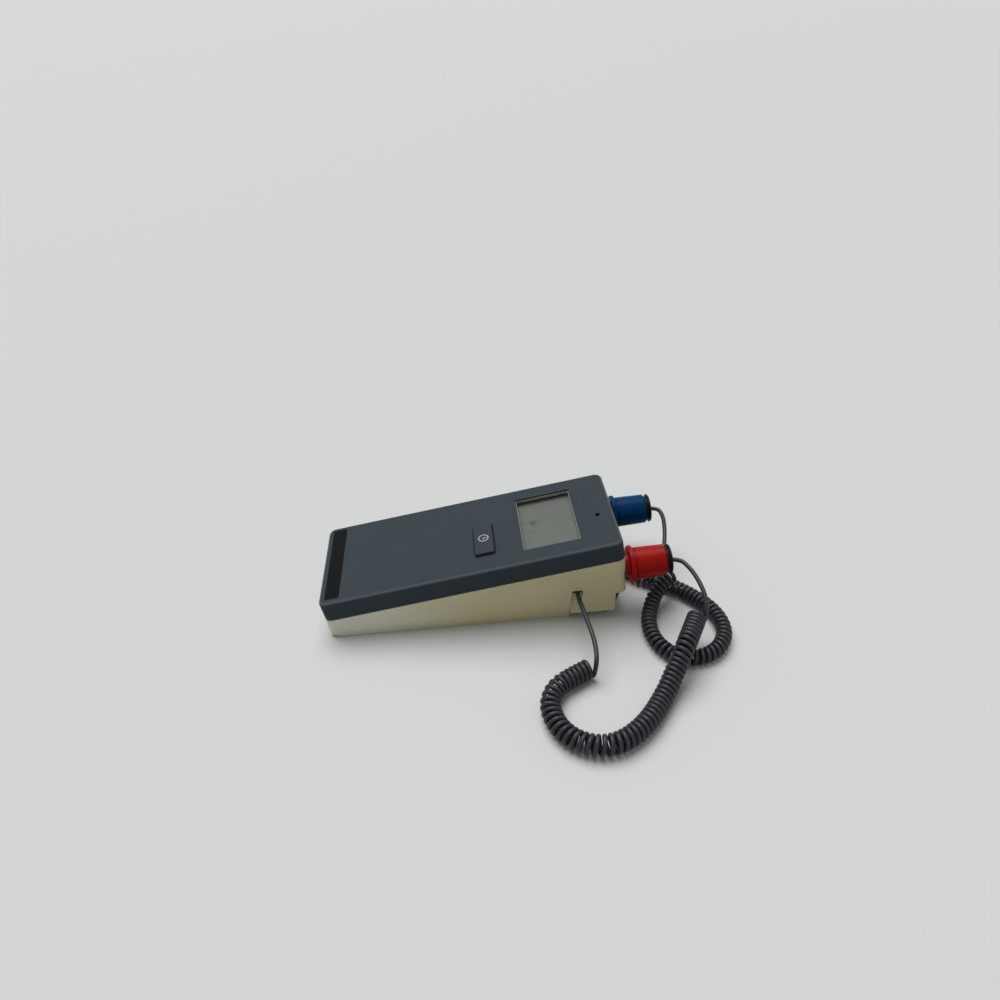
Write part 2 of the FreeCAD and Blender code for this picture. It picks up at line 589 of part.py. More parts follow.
door = join(door, box(DOOR_X, STEP_X - SEAM, -door_half - TONGUE, door_half + TONGUE,
                      DOOR_LIFT + DOOR_T - TONGUE_T, DOOR_LIFT + DOOR_T))
for i in range(4):
    x = STEP_X - 12 - 3.0 * i
    door = trim(door, box(x, x + 1.4, -9, 9, 0, DOOR_LIFT + 0.6))
NODES["battery_door"] = door


def along_well(shape, side):
    """From the axis of a probe, measured from the outer face of the end wall, to the table."""
    s = shape.copy()
    s.translate(V(P1, side * WELL_Y, WELL_Q))
    return mid_place(s)


def biarc(p0, t0, p1, t1):
    """Two tangent arcs from p0 along t0 to p1 along t1."""
    v = p1 - p0
    k = 2 * (1 - t0.dot(t1))
    vt = v.dot(t0 + t1)
    d = (math.sqrt(vt * vt + k * v.dot(v)) - vt) / k
    m = (p0 + p1 + (t0 - t1) * d) * 0.5
    tm = p1 - t1 * d - p0 - t0 * d
    tm.normalize()
    return [arc_from(p0, t0, m), arc_from(m, tm, p1)]


def arc_from(a, t, b):
    chord = b - a
    lean = t.dot(chord) / chord.Length
    bow = t - chord * (lean / chord.Length)
    bow.normalize()
    angle = math.acos(max(-1.0, min(1.0, lean)))
    return Part.Arc(a, (a + b) * 0.5 + bow * (chord.Length / 2 * math.tan(angle / 2)), b).toShape()


def wound(at, turns, wire, name):
    """One unbroken tube wound along at(turn), with straight ends of one wire diameter."""
    def heading(s):
        t = at(s + 1e-4) - at(s - 1e-4)
        return t.normalize()
    edges = []
    for i in range(round(2 * turns)):
        edges += biarc(at(i / 2), heading(i / 2), at((i + 1) / 2), heading((i + 1) / 2))
    head = at(0) - heading(0) * wire
    tail = at(turns) + heading(turns) * wire
    edges = [Part.LineSegment(head, at(0)).toShape()] + edges + [Part.LineSegment(at(turns), tail).toShape()]
    path = Part.Wire(edges)
    tube = path.makePipeShell([Part.Wire([Part.makeCircle(wire / 2, head, heading(0))])], True, False)
    step = 16
    pts = [at(i / step) for i in range(round(turns * step) + 1)]
    gap, near = min(((pts[i] - pts[j]).Length - wire, i / step) for i in range(len(pts))
                    for j in range(i + step // 2, len(pts)))
    print("%s: wire %.0f mm, least gap %.2f mm at turn %.1f, volume ratio %.4f" % (
        name, path.Length, gap, near, tube.Volume / (path.Length * math.pi * wire * wire / 4)))
    return tube, (head, heading(0)), (tail, heading(turns))


def laid(points, wire, name):
    """Tube along straight runs joined by arcs as large as the runs allow."""
    edges = []
    last = points[0]
    radii = []
    for i in range(1, len(points) - 1):
        a = points[i - 1] - points[i]
        b = points[i + 1] - points[i]
        reach = 0.45 * min(a.Length, b.Length)
        a.normalize()
        b.normalize()
        half = (math.pi - math.acos(max(-1.0, min(1.0, a.dot(b))))) / 2
        radius = reach / math.tan(half)
        start = points[i] + a * reach
        end = points[i] + b * reach
        inward = a + b
        inward.normalize()
        crown = points[i] + inward * (radius / math.cos(half) - radius)
        edges.append(Part.LineSegment(last, start).toShape())
        edges.append(Part.Arc(start, crown, end).toShape())
        last = end
        radii.append(radius)
    edges.append(Part.LineSegment(last, points[-1]).toShape())
    path = Part.Wire(edges)
    t = points[1] - points[0]
    tube = path.makePipeShell([Part.Wire([Part.makeCircle(wire / 2, points[0], t)])], True, False)
    print("%s: %.0f mm, radii %s, volume ratio %.4f" % (
        name, path.Length, " ".join("%.0f" % r for r in radii),
        tube.Volume / (path.Length * math.pi * wire * wire / 4)))
    return tube


def curve(points):
    """Point and axes at a share of the length of a smooth curve drawn through the runs' middles."""
    n = len(points) - 1
    pts = []
    for i in range(1, n):
        a = points[0] if i == 1 else (points[i - 1] + points[i]) * 0.5
        c = points[n] if i == n - 1 else (points[i] + points[i + 1]) * 0.5
        for k in range(24):
            t = k / 24
            pts.append(a * ((1 - t) * (1 - t)) + points[i] * (2 * t * (1 - t)) + c * (t * t))
    pts.append(points[n])
    length = [0.0]
    for a, b in zip(pts, pts[1:]):
        length.append(length[-1] + (b - a).Length)

    def at(share):
        want = share * length[-1]
        i = 0
        while i < len(length) - 2 and length[i + 1] < want:
            i += 1
        k = (want - length[i]) / (length[i + 1] - length[i])
        centre = pts[i] + (pts[i + 1] - pts[i]) * k
        ahead = pts[min(i + 2, len(pts) - 1)] - pts[max(i - 1, 0)]
        side = V(ahead.y, -ahead.x, 0)
        side.normalize()
        rise = side.cross(ahead)
        rise.normalize()
        return centre, side, rise
    return at, length[-1]


# Wells and probes, with the parts of each probe and its eject button
neck_bore = NECK_D + 2 * NECK_GAP
sensor_s = -MOUTH_DEEP - SENSOR_BACK
well_far = WELL_P - P1
FLANGE_S = SEAT_GAP
grip_s0 = FLANGE_S + FLANGE_T + GROOVE_W
grip_s1 = grip_s0 + GRIP_L
bulk_s = FLANGE_S + FLANGE_T + BULK_T
disc_s0 = grip_s1 + EJECT_REST
DISC_S = disc_s0 + DISC_T
cup_s0 = grip_s1 - PLUNGER_L
cup_floor = disc_s0 - 2.0
clamp_s1 = bulk_s + CLAMP_L
for colour, side in (("red", -1), ("blue", 1)):
    tube = turned([(well_far, 0), (well_far, WELL_D / 2), (-MOUTH_DEEP - 5, WELL_D / 2),
                   (-MOUTH_DEEP - 2, MOUTH_D / 2), (0, MOUTH_D / 2), (0, neck_bore / 2),
                   (-MOUTH_DEEP, neck_bore / 2), (-MOUTH_DEEP - 2, WELL_BORE / 2),
                   (well_far + 2, WELL_BORE / 2), (well_far + 2, 0)])
    NODES[colour + "_well"] = along_well(tube, side)
    sensor = trim(box(sensor_s, sensor_s + SENSOR_L, -SENSOR_W / 2, SENSOR_W / 2, 0, WELL_D / 2 + SENSOR_H),
                  bar(WELL_D + 2 * SENSOR_FIT, well_far, 0))
    NODES[colour + "_probe_sensor"] = along_well(sensor, side)
    grip = turned([(-NECK_L, 0), (-NECK_L, NECK_D / 2 - 1), (1 - NECK_L, NECK_D / 2), (FLANGE_S, NECK_D / 2),
                   (FLANGE_S, FLANGE_D / 2 - 0.6), (FLANGE_S + 0.6, FLANGE_D / 2),
                   (FLANGE_S + FLANGE_T - 0.6, FLANGE_D / 2), (FLANGE_S + FLANGE_T, FLANGE_D / 2 - 0.6),
                   (FLANGE_S + FLANGE_T, GROOVE_D / 2), (grip_s0, GROOVE_D / 2), (grip_s0, GRIP_D / 2),
                   (grip_s1 - 0.8, GRIP_END_D / 2), (grip_s1, GRIP_END_D / 2 - 0.8),
                   (grip_s1, PLUNGER_D / 2 + SLIDE_GAP), (bulk_s, PLUNGER_D / 2 + SLIDE_GAP), (bulk_s, 0)])
    bores = [bar(STEM_D + 2 * STEM_FIT, -NECK_L - 1, STEM_HELD - NECK_L)]
    for y in (-PRONG_R, PRONG_R):
        bores.append(bar(PRONG_D + 2 * SLIDE_GAP, -NECK_L - 1, bulk_s + 1, y))
    NODES[colour + "_probe_grip"] = along_well(trim(grip, *bores), side)
    stem = trim(bar(STEM_D, -NECK_L - STEM_L, STEM_HELD - NECK_L), bar(STEM_D - 0.8, -NECK_L - STEM_L, BIG))
    NODES[colour + "_probe_stem"] = along_well(stem, side)
    nose = -NECK_L - STEM_L - TIP_L
    ball = Part.makeSphere(STEM_D / 2, V(nose + STEM_D / 2, 0, 0))
    tip = join(ball, bar(STEM_D, nose + STEM_D / 2, -NECK_L - STEM_L))
    NODES[colour + "_probe_tip"] = along_well(tip, side)
    NODES[colour + "_cord_clamp"] = along_well(bar(CLAMP_D, bulk_s, clamp_s1), side)
    button = turned([(cup_s0, CUP_BORE / 2), (cup_s0, PLUNGER_D / 2), (disc_s0, PLUNGER_D / 2),
                     (disc_s0, DISC_D / 2),
                     (DISC_S - 0.6, DISC_D / 2), (DISC_S, DISC_D / 2 - 0.6), (DISC_S, WIRE_D / 2 + SLIDE_GAP),
                     (cup_floor, WIRE_D / 2 + SLIDE_GAP), (cup_floor, CUP_BORE / 2)])
    NODES[colour + "_eject_button"] = along_well(button, side)
    pins = [bar(PRONG_D, -NECK_L, cup_s0, y) for y in (-PRONG_R, PRONG_R)]
    NODES[colour + "_eject_pins"] = Part.Compound([along_well(pin, side) for pin in pins])
    seat = bulk_s + SPRING_WIRE / 2 + 0.05
    rise = cup_floor - SPRING_WIRE / 2 - 0.05 - seat

    def coil_at(s):
        a = 2 * math.pi * s
        return V(seat + rise * s / SPRING_TURNS, SPRING_D / 2 * math.cos(a), SPRING_D / 2 * math.sin(a))
    spring = wound(coil_at, SPRING_TURNS, SPRING_WIRE, colour + "_eject_spring")[0]
    NODES[colour + "_eject_spring"] = along_well(spring, side)

# Cord plugs in their sockets on the shelf behind each slot
cord_z = RIM_Z + PLUG_H / 2
for colour, side in (("red", -1), ("blue", 1)):
    y_out = side * (HALF - WALL - 0.6)
    y_mid = side * (HALF - WALL - 0.6 - PLUG_L)
    y_in = side * (HALF - WALL - 0.6 - PLUG_L - SOCKET_L)
    x0 = SLOT_X - PLUG_W / 2
    x1 = SLOT_X + PLUG_W / 2
    NODES[colour + "_cord_plug"] = box(x0, x1, min(y_out, y_mid), max(y_out, y_mid), RIM_Z, RIM_Z + PLUG_H)
    NODES[colour + "_cord_socket"] = box(x0, x1, min(y_in, y_mid), max(y_in, y_mid), RIM_Z, RIM_Z + PLUG_H)

# Cords: a lead from the slot, a wound length lying on the table and a lead up to the probe
red_high = RED_COIL_R + WIRE_D / 2 + 0.1
blue_high = BLUE_COIL_R + WIRE_D / 2 + 0.1


def by_end(plan, high=0.0):
    """Route points with x counted from the probe end; one with no height of its own lies on the table."""
    return [V(CASE_L + p[0], p[1], p[2] if len(p) > 2 else high) for p in plan]


RED_ROUTE = by_end([
    (-30.0, -86.5), (-40.8, -92.0), (-51.3, -98.5), (-57.0, -109), (-56.5, -121), (-51.3, -132),
    (-41.8, -139.5), (-29.8, -142), (-17.8, -138), (-4.8, -128), (8.2, -111.5), (17.2, -99, 12.0),
    (25.2, -88, 18.8), (32.2, -76.5, 19.2), (39.7, -63.5, 19.2)], red_high)
BLUE_ROUTE = by_end([
    (35.2, -21.5, 16.6), (25.2, -27, 12.0), (16.7, -41), (12.7, -56), (14.7, -71), (23.7, -82),
    (36.2, -84.5), (48.7, -79.5), (57.2, -69), (59.7, -56), (56.2, -42), (48.2, -30), (38.2, -19.5),
    (27.2, -13), (17.2, -8), (11.7, 1), (10.7, 13)], blue_high)
RED_PHASE = 0.5         # the wire's first point: half a turn from the right of the route
BLUE_PHASE = 0.25       # a quarter turn, at the top


def curly(route, radius, phase, turns, name):
    at, length = curve(route)

    def point(s):
        centre, side, rise = at(s / turns)
        a = 2 * math.pi * (s + phase)
        return centre + side * (radius * math.cos(a)) + rise * (radius * math.sin(a))
    print("%s: pitch %.2f mm" % (name, length / turns))
    return wound(point, turns, WIRE_D, name)


NODES["red_coil"], red_head, red_tail = curly(RED_ROUTE, RED_COIL_R, RED_PHASE, RED_TURNS, "red_coil")
NODES["blue_coil"], blue_head, blue_tail = curly(BLUE_ROUTE, BLUE_COIL_R, BLUE_PHASE, BLUE_TURNS, "blue_coil")


def probe_exit(side, s):
    return along_well(Part.Vertex(s, 0, 0), side).Point


slot_y = HALF - WALL - 0.6
plug_face = V(SLOT_X, -slot_y, cord_z)
RED_CASE_POINTS = [plug_face, plug_face - V(0, 8.0, 0)]
RED_CASE_POINTS += by_end([(-28.4, -55, 21.0), (-26.4, -67, 18.5), (-25.4, -78.5, 16.5)])
red_in = [red_head[0] - red_head[1] * 9.0, red_head[0]]
NODES["red_case_lead"] = laid(RED_CASE_POINTS + red_in, WIRE_D, "red_case_lead")
RED_PROBE_POINTS = by_end([(45.2, -58.0, 30.0), (43.7, -48.0, 33.5), (40.7, -38.0, 36.0)])
red_out = [red_tail[0], red_tail[0] + red_tail[1] * 5.0]
red_ends = [probe_exit(-1, DISC_S + 5.0), probe_exit(-1, clamp_s1)]
NODES["red_probe_lead"] = laid(red_out + RED_PROBE_POINTS + red_ends, WIRE_D, "red_probe_lead")
BLUE_PROBE_POINTS = by_end([(38.7, 20.0, 35.0), (37.7, 9.0, 29.5), (34.7, -2.0, 24.5)])
blue_in = [blue_head[0] - blue_head[1] * 8.0, blue_head[0]]
blue_ends = [probe_exit(1, clamp_s1), probe_exit(1, DISC_S + 5.0)]
NODES["blue_probe_lead"] = laid(blue_ends + BLUE_PROBE_POINTS + blue_in, WIRE_D, "blue_probe_lead")
BLUE_CASE_POINTS = by_end([(-0.8, 17.0, 2.2), (-8.8, 23.0, 1.6), (-17.8, 33.0, 1.6), (-23.8, 44.0, 2.2),
                           (-28.3, 53.0, 7.0)])
BLUE_CASE_POINTS += [V(SLOT_X, 53.5, 16.0), V(SLOT_X, 47.0, cord_z), V(SLOT_X, slot_y, cord_z)]
blue_out = [blue_tail[0], blue_tail[0] + blue_tail[1] * 5.0]
NODES["blue_case_lead"] = laid(blue_out + BLUE_CASE_POINTS, WIRE_D, "blue_case_lead")

# Origin: on the table, under the middle of the object without its cords
CORDS = ("_coil", "_lead", "_cord_plug")
solid = Part.Compound([s for n, s in NODES.items() if not n.endswith(CORDS)]).optimalBoundingBox(False, False)
shift = V(-(solid.XMin + solid.XMax) / 2, -(solid.YMin + solid.YMax) / 2, 0)
print("object box %.2f x %.2f x %.2f" % (solid.XLength, solid.YLength, solid.ZLength))
print("moved by %.3f %.3f" % (shift.x, shift.y))
os.makedirs("parts", exist_ok=True)
for name, shape in NODES.items():
    shape.translate(shift)
    if not shape.isValid():
        print("not valid:", name)
    shape.exportStep("parts/%s.step" % name)
print(len(NODES), "nodes,", sum(len(s.Solids) for s in NODES.values()), "solids")
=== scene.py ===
import bpy
import math
from mathutils import Matrix, Vector


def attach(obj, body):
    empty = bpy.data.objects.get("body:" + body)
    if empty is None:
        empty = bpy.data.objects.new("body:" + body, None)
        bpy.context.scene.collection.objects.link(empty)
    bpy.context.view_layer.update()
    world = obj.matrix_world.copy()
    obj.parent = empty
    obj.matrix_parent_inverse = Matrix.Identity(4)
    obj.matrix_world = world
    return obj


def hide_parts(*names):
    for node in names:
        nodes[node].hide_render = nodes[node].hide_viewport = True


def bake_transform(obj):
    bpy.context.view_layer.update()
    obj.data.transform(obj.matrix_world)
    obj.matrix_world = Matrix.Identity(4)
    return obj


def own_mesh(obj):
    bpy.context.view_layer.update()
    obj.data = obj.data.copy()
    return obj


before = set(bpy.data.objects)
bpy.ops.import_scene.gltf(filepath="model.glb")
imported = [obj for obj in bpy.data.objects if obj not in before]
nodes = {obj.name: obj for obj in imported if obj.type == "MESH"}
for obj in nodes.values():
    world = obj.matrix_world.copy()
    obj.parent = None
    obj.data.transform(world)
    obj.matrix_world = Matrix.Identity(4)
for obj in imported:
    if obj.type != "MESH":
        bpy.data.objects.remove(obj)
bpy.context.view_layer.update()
scene = bpy.context.scene

# Lower case: the deep half of the housing, cream ABS moulded in one piece with upright walls
# and leaning flanks, held to the cover by four screws from below. The tool's spark-eroded
# surface leaves a fine satin grain, and the resin has yellowed unevenly over the years.
PLASTIC_IOR = 1.53
# the span of noise over which the resin goes from fresh to aged, and over which the grain shows
AGEING_SPAN = 0.55
GRAIN_LOW, GRAIN_HIGH, POLISH_SWING = 0.3, 0.7, 0.06
# an edge's reach in metres, and the cosines of its turn from which and up to which it is painted paler,
# partly as wear and partly as painted highlight
WEAR_SHEEN_REACH, WEAR_SHEEN_STARTS, WEAR_SHEEN_FULL, WEAR_SHEEN_SHARE = 0.001, 0.998, 0.93, 0.55


def linear(text):
    """An sRGB hex colour as linear RGBA."""
    parts = [int(text[i:i + 2], 16) / 255 for i in (1, 3, 5)]
    return [c / 12.92 if c <= 0.04045 else ((c + 0.055) / 1.055) ** 2.4 for c in parts] + [1.0]


def put(tree, kind, feeds, **settings):
    """Adds a node: settings are its own, feeds are values or links for its sockets."""
    node = tree.nodes.new("ShaderNode" + kind)
    for key, value in settings.items():
        setattr(node, key, value)
    for socket, value in feeds.items():
        if isinstance(value, bpy.types.NodeSocket):
            tree.links.new(value, node.inputs[socket])
        else:
            node.inputs[socket].default_value = value
    return node


def graded(tree, value, start, end, at_start=0.0, at_end=1.0):
    """A value that goes from start to end, made to go from at_start to at_end."""
    return put(tree, "MapRange", {0: value, 1: start, 2: end, 3: at_start, 4: at_end}).outputs[0]


def mixed(tree, share, colour, other):
    """A colour with a share of another in it."""
    return put(tree, "Mix", {0: share, 6: colour, 7: other}, data_type="RGBA").outputs[2]


def dotted(tree, one, other):
    """The dot product of two vectors."""
    return put(tree, "VectorMath", {0: one, 1: other}, operation="DOT_PRODUCT").outputs["Value"]


def blank(name):
    """A new material and its shader."""
    material = bpy.data.materials.new(name)
    material.use_nodes = True
    return material, material.node_tree.nodes["Principled BSDF"]


def moulded(name, colour, aged, grain_mm, deep_mm, rough, drift_mm=28.0, edge_mm=0.35, gloss=0.5,
            worn_sheen=None, toward=(0, 0, 0), fresh=0.25):
    """Moulded plastic with soft edges and the tool's grain. Its colour drifts to an aged one, more so
    towards one side, and its edges are painted in a paler colour, if one is given: partly wear from
    hands, partly painted highlight."""
    material, shader = blank(name)
    tree = material.node_tree
    place = put(tree, "TexCoord", {}).outputs["Object"]
    drift = put(tree, "TexNoise", {"Vector": place, "Scale": 1000 / drift_mm, "Detail": 4.0,
                                   "Roughness": 0.55})
    gain = dotted(tree, place, toward)
    spread = put(tree, "Math", {0: drift.outputs[0], 1: gain}, operation="ADD").outputs[0]
    share = graded(tree, spread, fresh, fresh + AGEING_SPAN)
    tone = mixed(tree, share, linear(colour), linear(aged))
    if worn_sheen:
        # where the surface turns within a millimetre it is painted paler: partly wear from hands, partly
        # painted highlight on the edge
        softened = put(tree, "Bevel", {"Radius": WEAR_SHEEN_REACH}, samples=6).outputs[0]
        flat = put(tree, "NewGeometry", {}).outputs["Normal"]
        wear_sheen = graded(tree, dotted(tree, softened, flat), WEAR_SHEEN_STARTS, WEAR_SHEEN_FULL, 0.0, WEAR_SHEEN_SHARE)
        tone = mixed(tree, wear_sheen, tone, linear(worn_sheen))
    tree.links.new(tone, shader.inputs["Base Color"])
    grain = put(tree, "TexNoise", {"Vector": place, "Scale": 1000 / grain_mm, "Detail": 2.0,
                                   "Roughness": 0.6}).outputs[0]
    polish = graded(tree, grain, GRAIN_LOW, GRAIN_HIGH, rough - POLISH_SWING, rough + POLISH_SWING)
    tree.links.new(polish, shader.inputs["Roughness"])
    edge = put(tree, "Bevel", {"Radius": edge_mm / 1000}, samples=4).outputs[0]
    bump = put(tree, "Bump", {"Strength": 1.0, "Distance": deep_mm / 1000, "Height": grain,
                              "Normal": edge}).outputs[0]
    tree.links.new(bump, shader.inputs["Normal"])
    shader.inputs["IOR"].default_value = PLASTIC_IOR
    shader.inputs["Specular IOR Level"].default_value = gloss
    return material


def dress(material, *names):
    """Gives CAD pieces this material."""
    for name in names:
        piece = nodes[name]
        piece.data.materials.clear()
        piece.data.materials.append(material)


# the real grain is about 0.15 mm and is drawn at 0.7 mm so that it shows,
# and the yellowing is stronger towards the probes
# its edges are painted paler, partly as wear and partly as painted highlight
cream_abs = moulded("cream_abs_moulded", "#DAD6C4", "#CCC298", grain_mm=0.7, deep_mm=0.008, rough=0.5,
                    gloss=0.35, drift_mm=60.0, worn_sheen="#E4E0D0", toward=(6.0, 0, 0), fresh=-0.1)
dress(cream_abs, "lower_case", "bay_cover", "battery_door")

# End buffer: a black rubber strip along the end of the bay cover, under the case's overhang. It is
# moulded as a wedge that thins out downwards, and its ends are rounded off.
LOW_END = Vector((-0.111222, 0, 0))
CRISP_ANGLE = math.radians(40)


def design(points):
    """Points in millimetres from the housing's low end, as metres in the frame."""
    return [Vector(p) / 1000 + LOW_END for p in points]


def meshed(name, material, verts, faces):
    """A new smooth piece from points and faces."""
    mesh = bpy.data.meshes.new(name)
    mesh.from_pydata(verts, [], faces)
    mesh.materials.append(material)
    mesh.shade_smooth()
    piece = bpy.data.objects.new(name, mesh)
    scene.collection.objects.link(piece)
    return piece


def solid(name, material, verts, faces, body="case"):
    """A new piece with crisp edges, riding on a body."""
    piece = meshed(name, material, verts, faces)
    piece.data.set_sharp_from_angle(angle=CRISP_ANGLE)
    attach(piece, body)
    return piece


def lofted(loops, ring=False):
    """Points and faces through closed loops of equal count: capped at both ends, or closed on itself."""
    n = len(loops[0])
    rows = len(loops)
    faces = []
    for i in range(rows if ring else rows - 1):
        for k in range(n):
            a, b, m = i * n, (i + 1) % rows * n, (k + 1) % n
            faces.append((a + k, a + m, b + m, b + k))
    if not ring:
        faces += [tuple(range(n - 1, -1, -1)), tuple(range((rows - 1) * n, rows * n))]
    return [p for loop in loops for p in loop], faces


# black rubber for the end buffer; the same black is also painted shade for the gap round the push button
black_rubber_and_gap_shade = moulded("rubber_black_and_gap_shade", "#131416", "#1A1B1D", grain_mm=1.0, deep_mm=0.01, rough=0.7,
                 gloss=0.2)
BAY_END, BUFFER_BACK = 186.0, 0.05
BUFFER_HALF, BUFFER_FLARE = 32.93, 0.21
# how far the section stands out from the bay's end, and at what height
BUFFER_SECTION = ((BUFFER_BACK, 20.2), (2.4, 20.2), (2.9, 19.6), (2.9, 18.4), (1.3, 9.0), (0.9, 6.6),
                  (0.5, 6.2), (BUFFER_BACK, 6.6))
# places across the strip as shares of its half width, and how thick it is there
BUFFER_STATIONS = ((-1, 0.3), (-0.985, 0.8), (-0.96, 1), (0, 1), (0.96, 1), (0.985, 0.8), (1, 0.3))
buffer_loops = []
for share, thick in BUFFER_STATIONS:
    buffer_loops.append(design([(BAY_END + BUFFER_BACK + (x - BUFFER_BACK) * thick,
                                 share * (BUFFER_HALF + z * BUFFER_FLARE), z)
                                for x, z in BUFFER_SECTION]))
buffer = solid("bay_end_buffer", black_rubber_and_gap_shade, *lofted(buffer_loops))

# Battery cells and their contacts: three round cells lie across the housing between nickel-plated
# spring strips, behind the sliding door in the base.


def worked_metal(name, colour, stretch, lines_per_m, smooth, rough):
    """Rolled or drawn metal: fine lines, long in the direction whose stretch is small."""
    material, shader = blank(name)
    tree = material.node_tree
    shader.inputs["Base Color"].default_value = linear(colour)
    shader.inputs["Metallic"].default_value = 1.0
    place = put(tree, "TexCoord", {}).outputs["Object"]
    stretched = put(tree, "Mapping", {"Vector": place, "Scale": stretch}).outputs[0]
    lines = put(tree, "TexNoise", {"Vector": stretched, "Scale": lines_per_m, "Detail": 2.0}).outputs[0]
    tree.links.new(graded(tree, lines, 0.0, 1.0, smooth, rough), shader.inputs["Roughness"])
    return material


# rolling lines 0.4 mm apart along the strip
nickel = worked_metal("nickel_plated_strip", "#C9C4B6", stretch=(1, 0.05, 1), lines_per_m=2500.0,
                      smooth=0.24, rough=0.4)
dress(nickel, "near_contacts", "far_contacts", "case_screws", "bay_screws", "board_screws", "crystal")
cell_sleeve = moulded("cell_shrink_sleeve", "#3D444B", "#454C52", grain_mm=1.5, deep_mm=0.004, rough=0.3)
dress(cell_sleeve, "battery_cells")

# Circuit board: green solder resist over glass-epoxy laminate, on four posts under the cover,
# with black epoxy packages, an electrolytic pair and a beeper can.
resist = moulded("solder_resist_green", "#1F5A35", "#1A4A2D", grain_mm=3.0, deep_mm=0.02, rough=0.35,
                 drift_mm=9.0)
dress(resist, "circuit_board")
epoxy = moulded("epoxy_package_black", "#1B1B1D", "#242426", grain_mm=0.5, deep_mm=0.01, rough=0.6)
dress(epoxy, "processor_chip", "amplifier_chip", "capacitors", "beeper", "button_switch",
      "red_cord_socket", "blue_cord_socket", "red_probe_sensor", "blue_probe_sensor",
      "red_cord_clamp", "blue_cord_clamp")
silicone = moulded("silicone_rubber_grey", "#5B5E60", "#66696A", grain_mm=1.0, deep_mm=0.01, rough=0.6)
dress(silicone, "lcd_contact_strips")

# Display: a liquid crystal panel in a black holder on the board, behind a clear acrylic pane that is
# fixed under the opening in the cover. Unpowered, the panel is an even grey-green.
COVER_SLOPE, COVER_LOW = math.radians(10), 27.8


def on_cover(u, v, n):
    """A point by the top face's own axes in millimetres: along, across, and out of the face."""
    x = u * math.cos(COVER_SLOPE) - n * math.sin(COVER_SLOPE)
    z = u * math.sin(COVER_SLOPE) + n * math.cos(COVER_SLOPE) + COVER_LOW
    return design([(x, v, z)])[0]


def overlaid(material, share, colour):
    """Lays a share of a colour over the colour that a material has."""
    tree = material.node_tree
    base = tree.nodes["Principled BSDF"].inputs["Base Color"]
    tree.links.new(mixed(tree, share, base.links[0].from_socket, linear(colour)), base)


lcd_glass = moulded("liquid_crystal_panel", "#7F847C", "#7B8077", grain_mm=6.0, deep_mm=0.0, rough=0.3,
                    drift_mm=20.0, gloss=0.15)
dress(lcd_glass, "lcd_panel")
dress(epoxy, "lcd_holder")
# an old panel's crystal darkens where its seal has let it bleed: one faint smudge, 6 mm across
SMUDGE_AT = on_cover(139.3, 4.5, -4.5)
SMUDGE_CORE, SMUDGE_EDGE, SMUDGE_SHARE = 0.0008, 0.0036, 0.75
STRAY, STRAY_SCALE = 0.003, 450.0
tree = lcd_glass.node_tree
place = put(tree, "TexCoord", {}).outputs["Object"]
ragged = put(tree, "TexNoise", {"Vector": place, "Scale": STRAY_SCALE, "Detail": 2.0}).outputs[1]
offset = put(tree, "VectorMath", {0: place, 1: SMUDGE_AT}, operation="SUBTRACT").outputs[0]
strayed = put(tree, "VectorMath", {0: ragged, 1: [STRAY] * 3, 2: offset}, operation="MULTIPLY_ADD")
apart = put(tree, "VectorMath", {0: strayed.outputs[0], 1: [STRAY / 2] * 3}, operation="DISTANCE")
bleed = graded(tree, apart.outputs["Value"], SMUDGE_CORE, SMUDGE_EDGE, SMUDGE_SHARE, 0.0)
overlaid(lcd_glass, bleed, "#454A40")
acrylic, shader = blank("acrylic_pane_clear")
shader.inputs["Base Color"].default_value = linear("#4A4E4B")
shader.inputs["Alpha"].default_value = 0.12
shader.inputs["Roughness"].default_value = 0.06
shader.inputs["IOR"].default_value = 1.49
acrylic.surface_render_method = "BLENDED"
dress(acrylic, "display_window")
LEAST_CORNER, CORNER_STEPS = 0.05, 4


def rounded(u0, u1, v0, v1, out, radius, n):
    """A rounded rectangle on the top face, grown by so much all round."""
    r = max(radius + out, LEAST_CORNER)
    loop = []
    for u, v, turn in ((u1, v1, 0), (u0, v1, 90), (u0, v0, 180), (u1, v0, 270)):
        u += (out - r) * (1 if u == u1 else -1)
        v += (out - r) * (1 if v == v1 else -1)
        for step in range(CORNER_STEPS + 1):
            a = math.radians(turn + step * 90 / CORNER_STEPS)
            loop.append(on_cover(u + r * math.cos(a), v + r * math.sin(a), n))
    return loop


# the pane's raised field fills the opening, and its chamfered edge is a pale, half-clear frame: a painted
# highlight for the light that the pane's edges catch
pane_edge_highlight = moulded("acrylic_edge_painted_highlight", "#9DA29D", "#8F948F", grain_mm=0.8, deep_mm=0.01, rough=0.5,
                  gloss=0.3)
pane_edge_highlight.node_tree.nodes["Principled BSDF"].inputs["Alpha"].default_value = 0.6
pane_edge_highlight.surface_render_method = "BLENDED"
WINDOW, WINDOW_CORNER = (130.0, 167.0, -27.0, 27.0), 1.0
# how far its section stands out from the opening's edge, and above the top face
PANE_PROFILE = ((-0.5, -2.39), (-0.3, -1.15), (-0.5, -0.95), (-0.85, -0.95), (-1.0, -1.1), (-1.0, -2.39))
pane_loops = [rounded(*WINDOW, out, WINDOW_CORNER, n) for out, n in PANE_PROFILE]
pane_edge = solid("display_window_edge", pane_edge_highlight, *lofted(pane_loops, ring=True))

# Top cover: the shallow half of the housing, blue-grey ABS with a fine satin texture and soft
# rounded edges. It carries the board, the pane and the button, and a bare black film at its low end.
# its edges are painted paler, partly as wear and partly as painted highlight
slate_abs = moulded("slate_abs_moulded", "#363E45", "#323A41", grain_mm=0.6, deep_mm=0.008, rough=0.55,
                    gloss=0.08, worn_sheen="#4A5157")
dress(slate_abs, "top_cover")
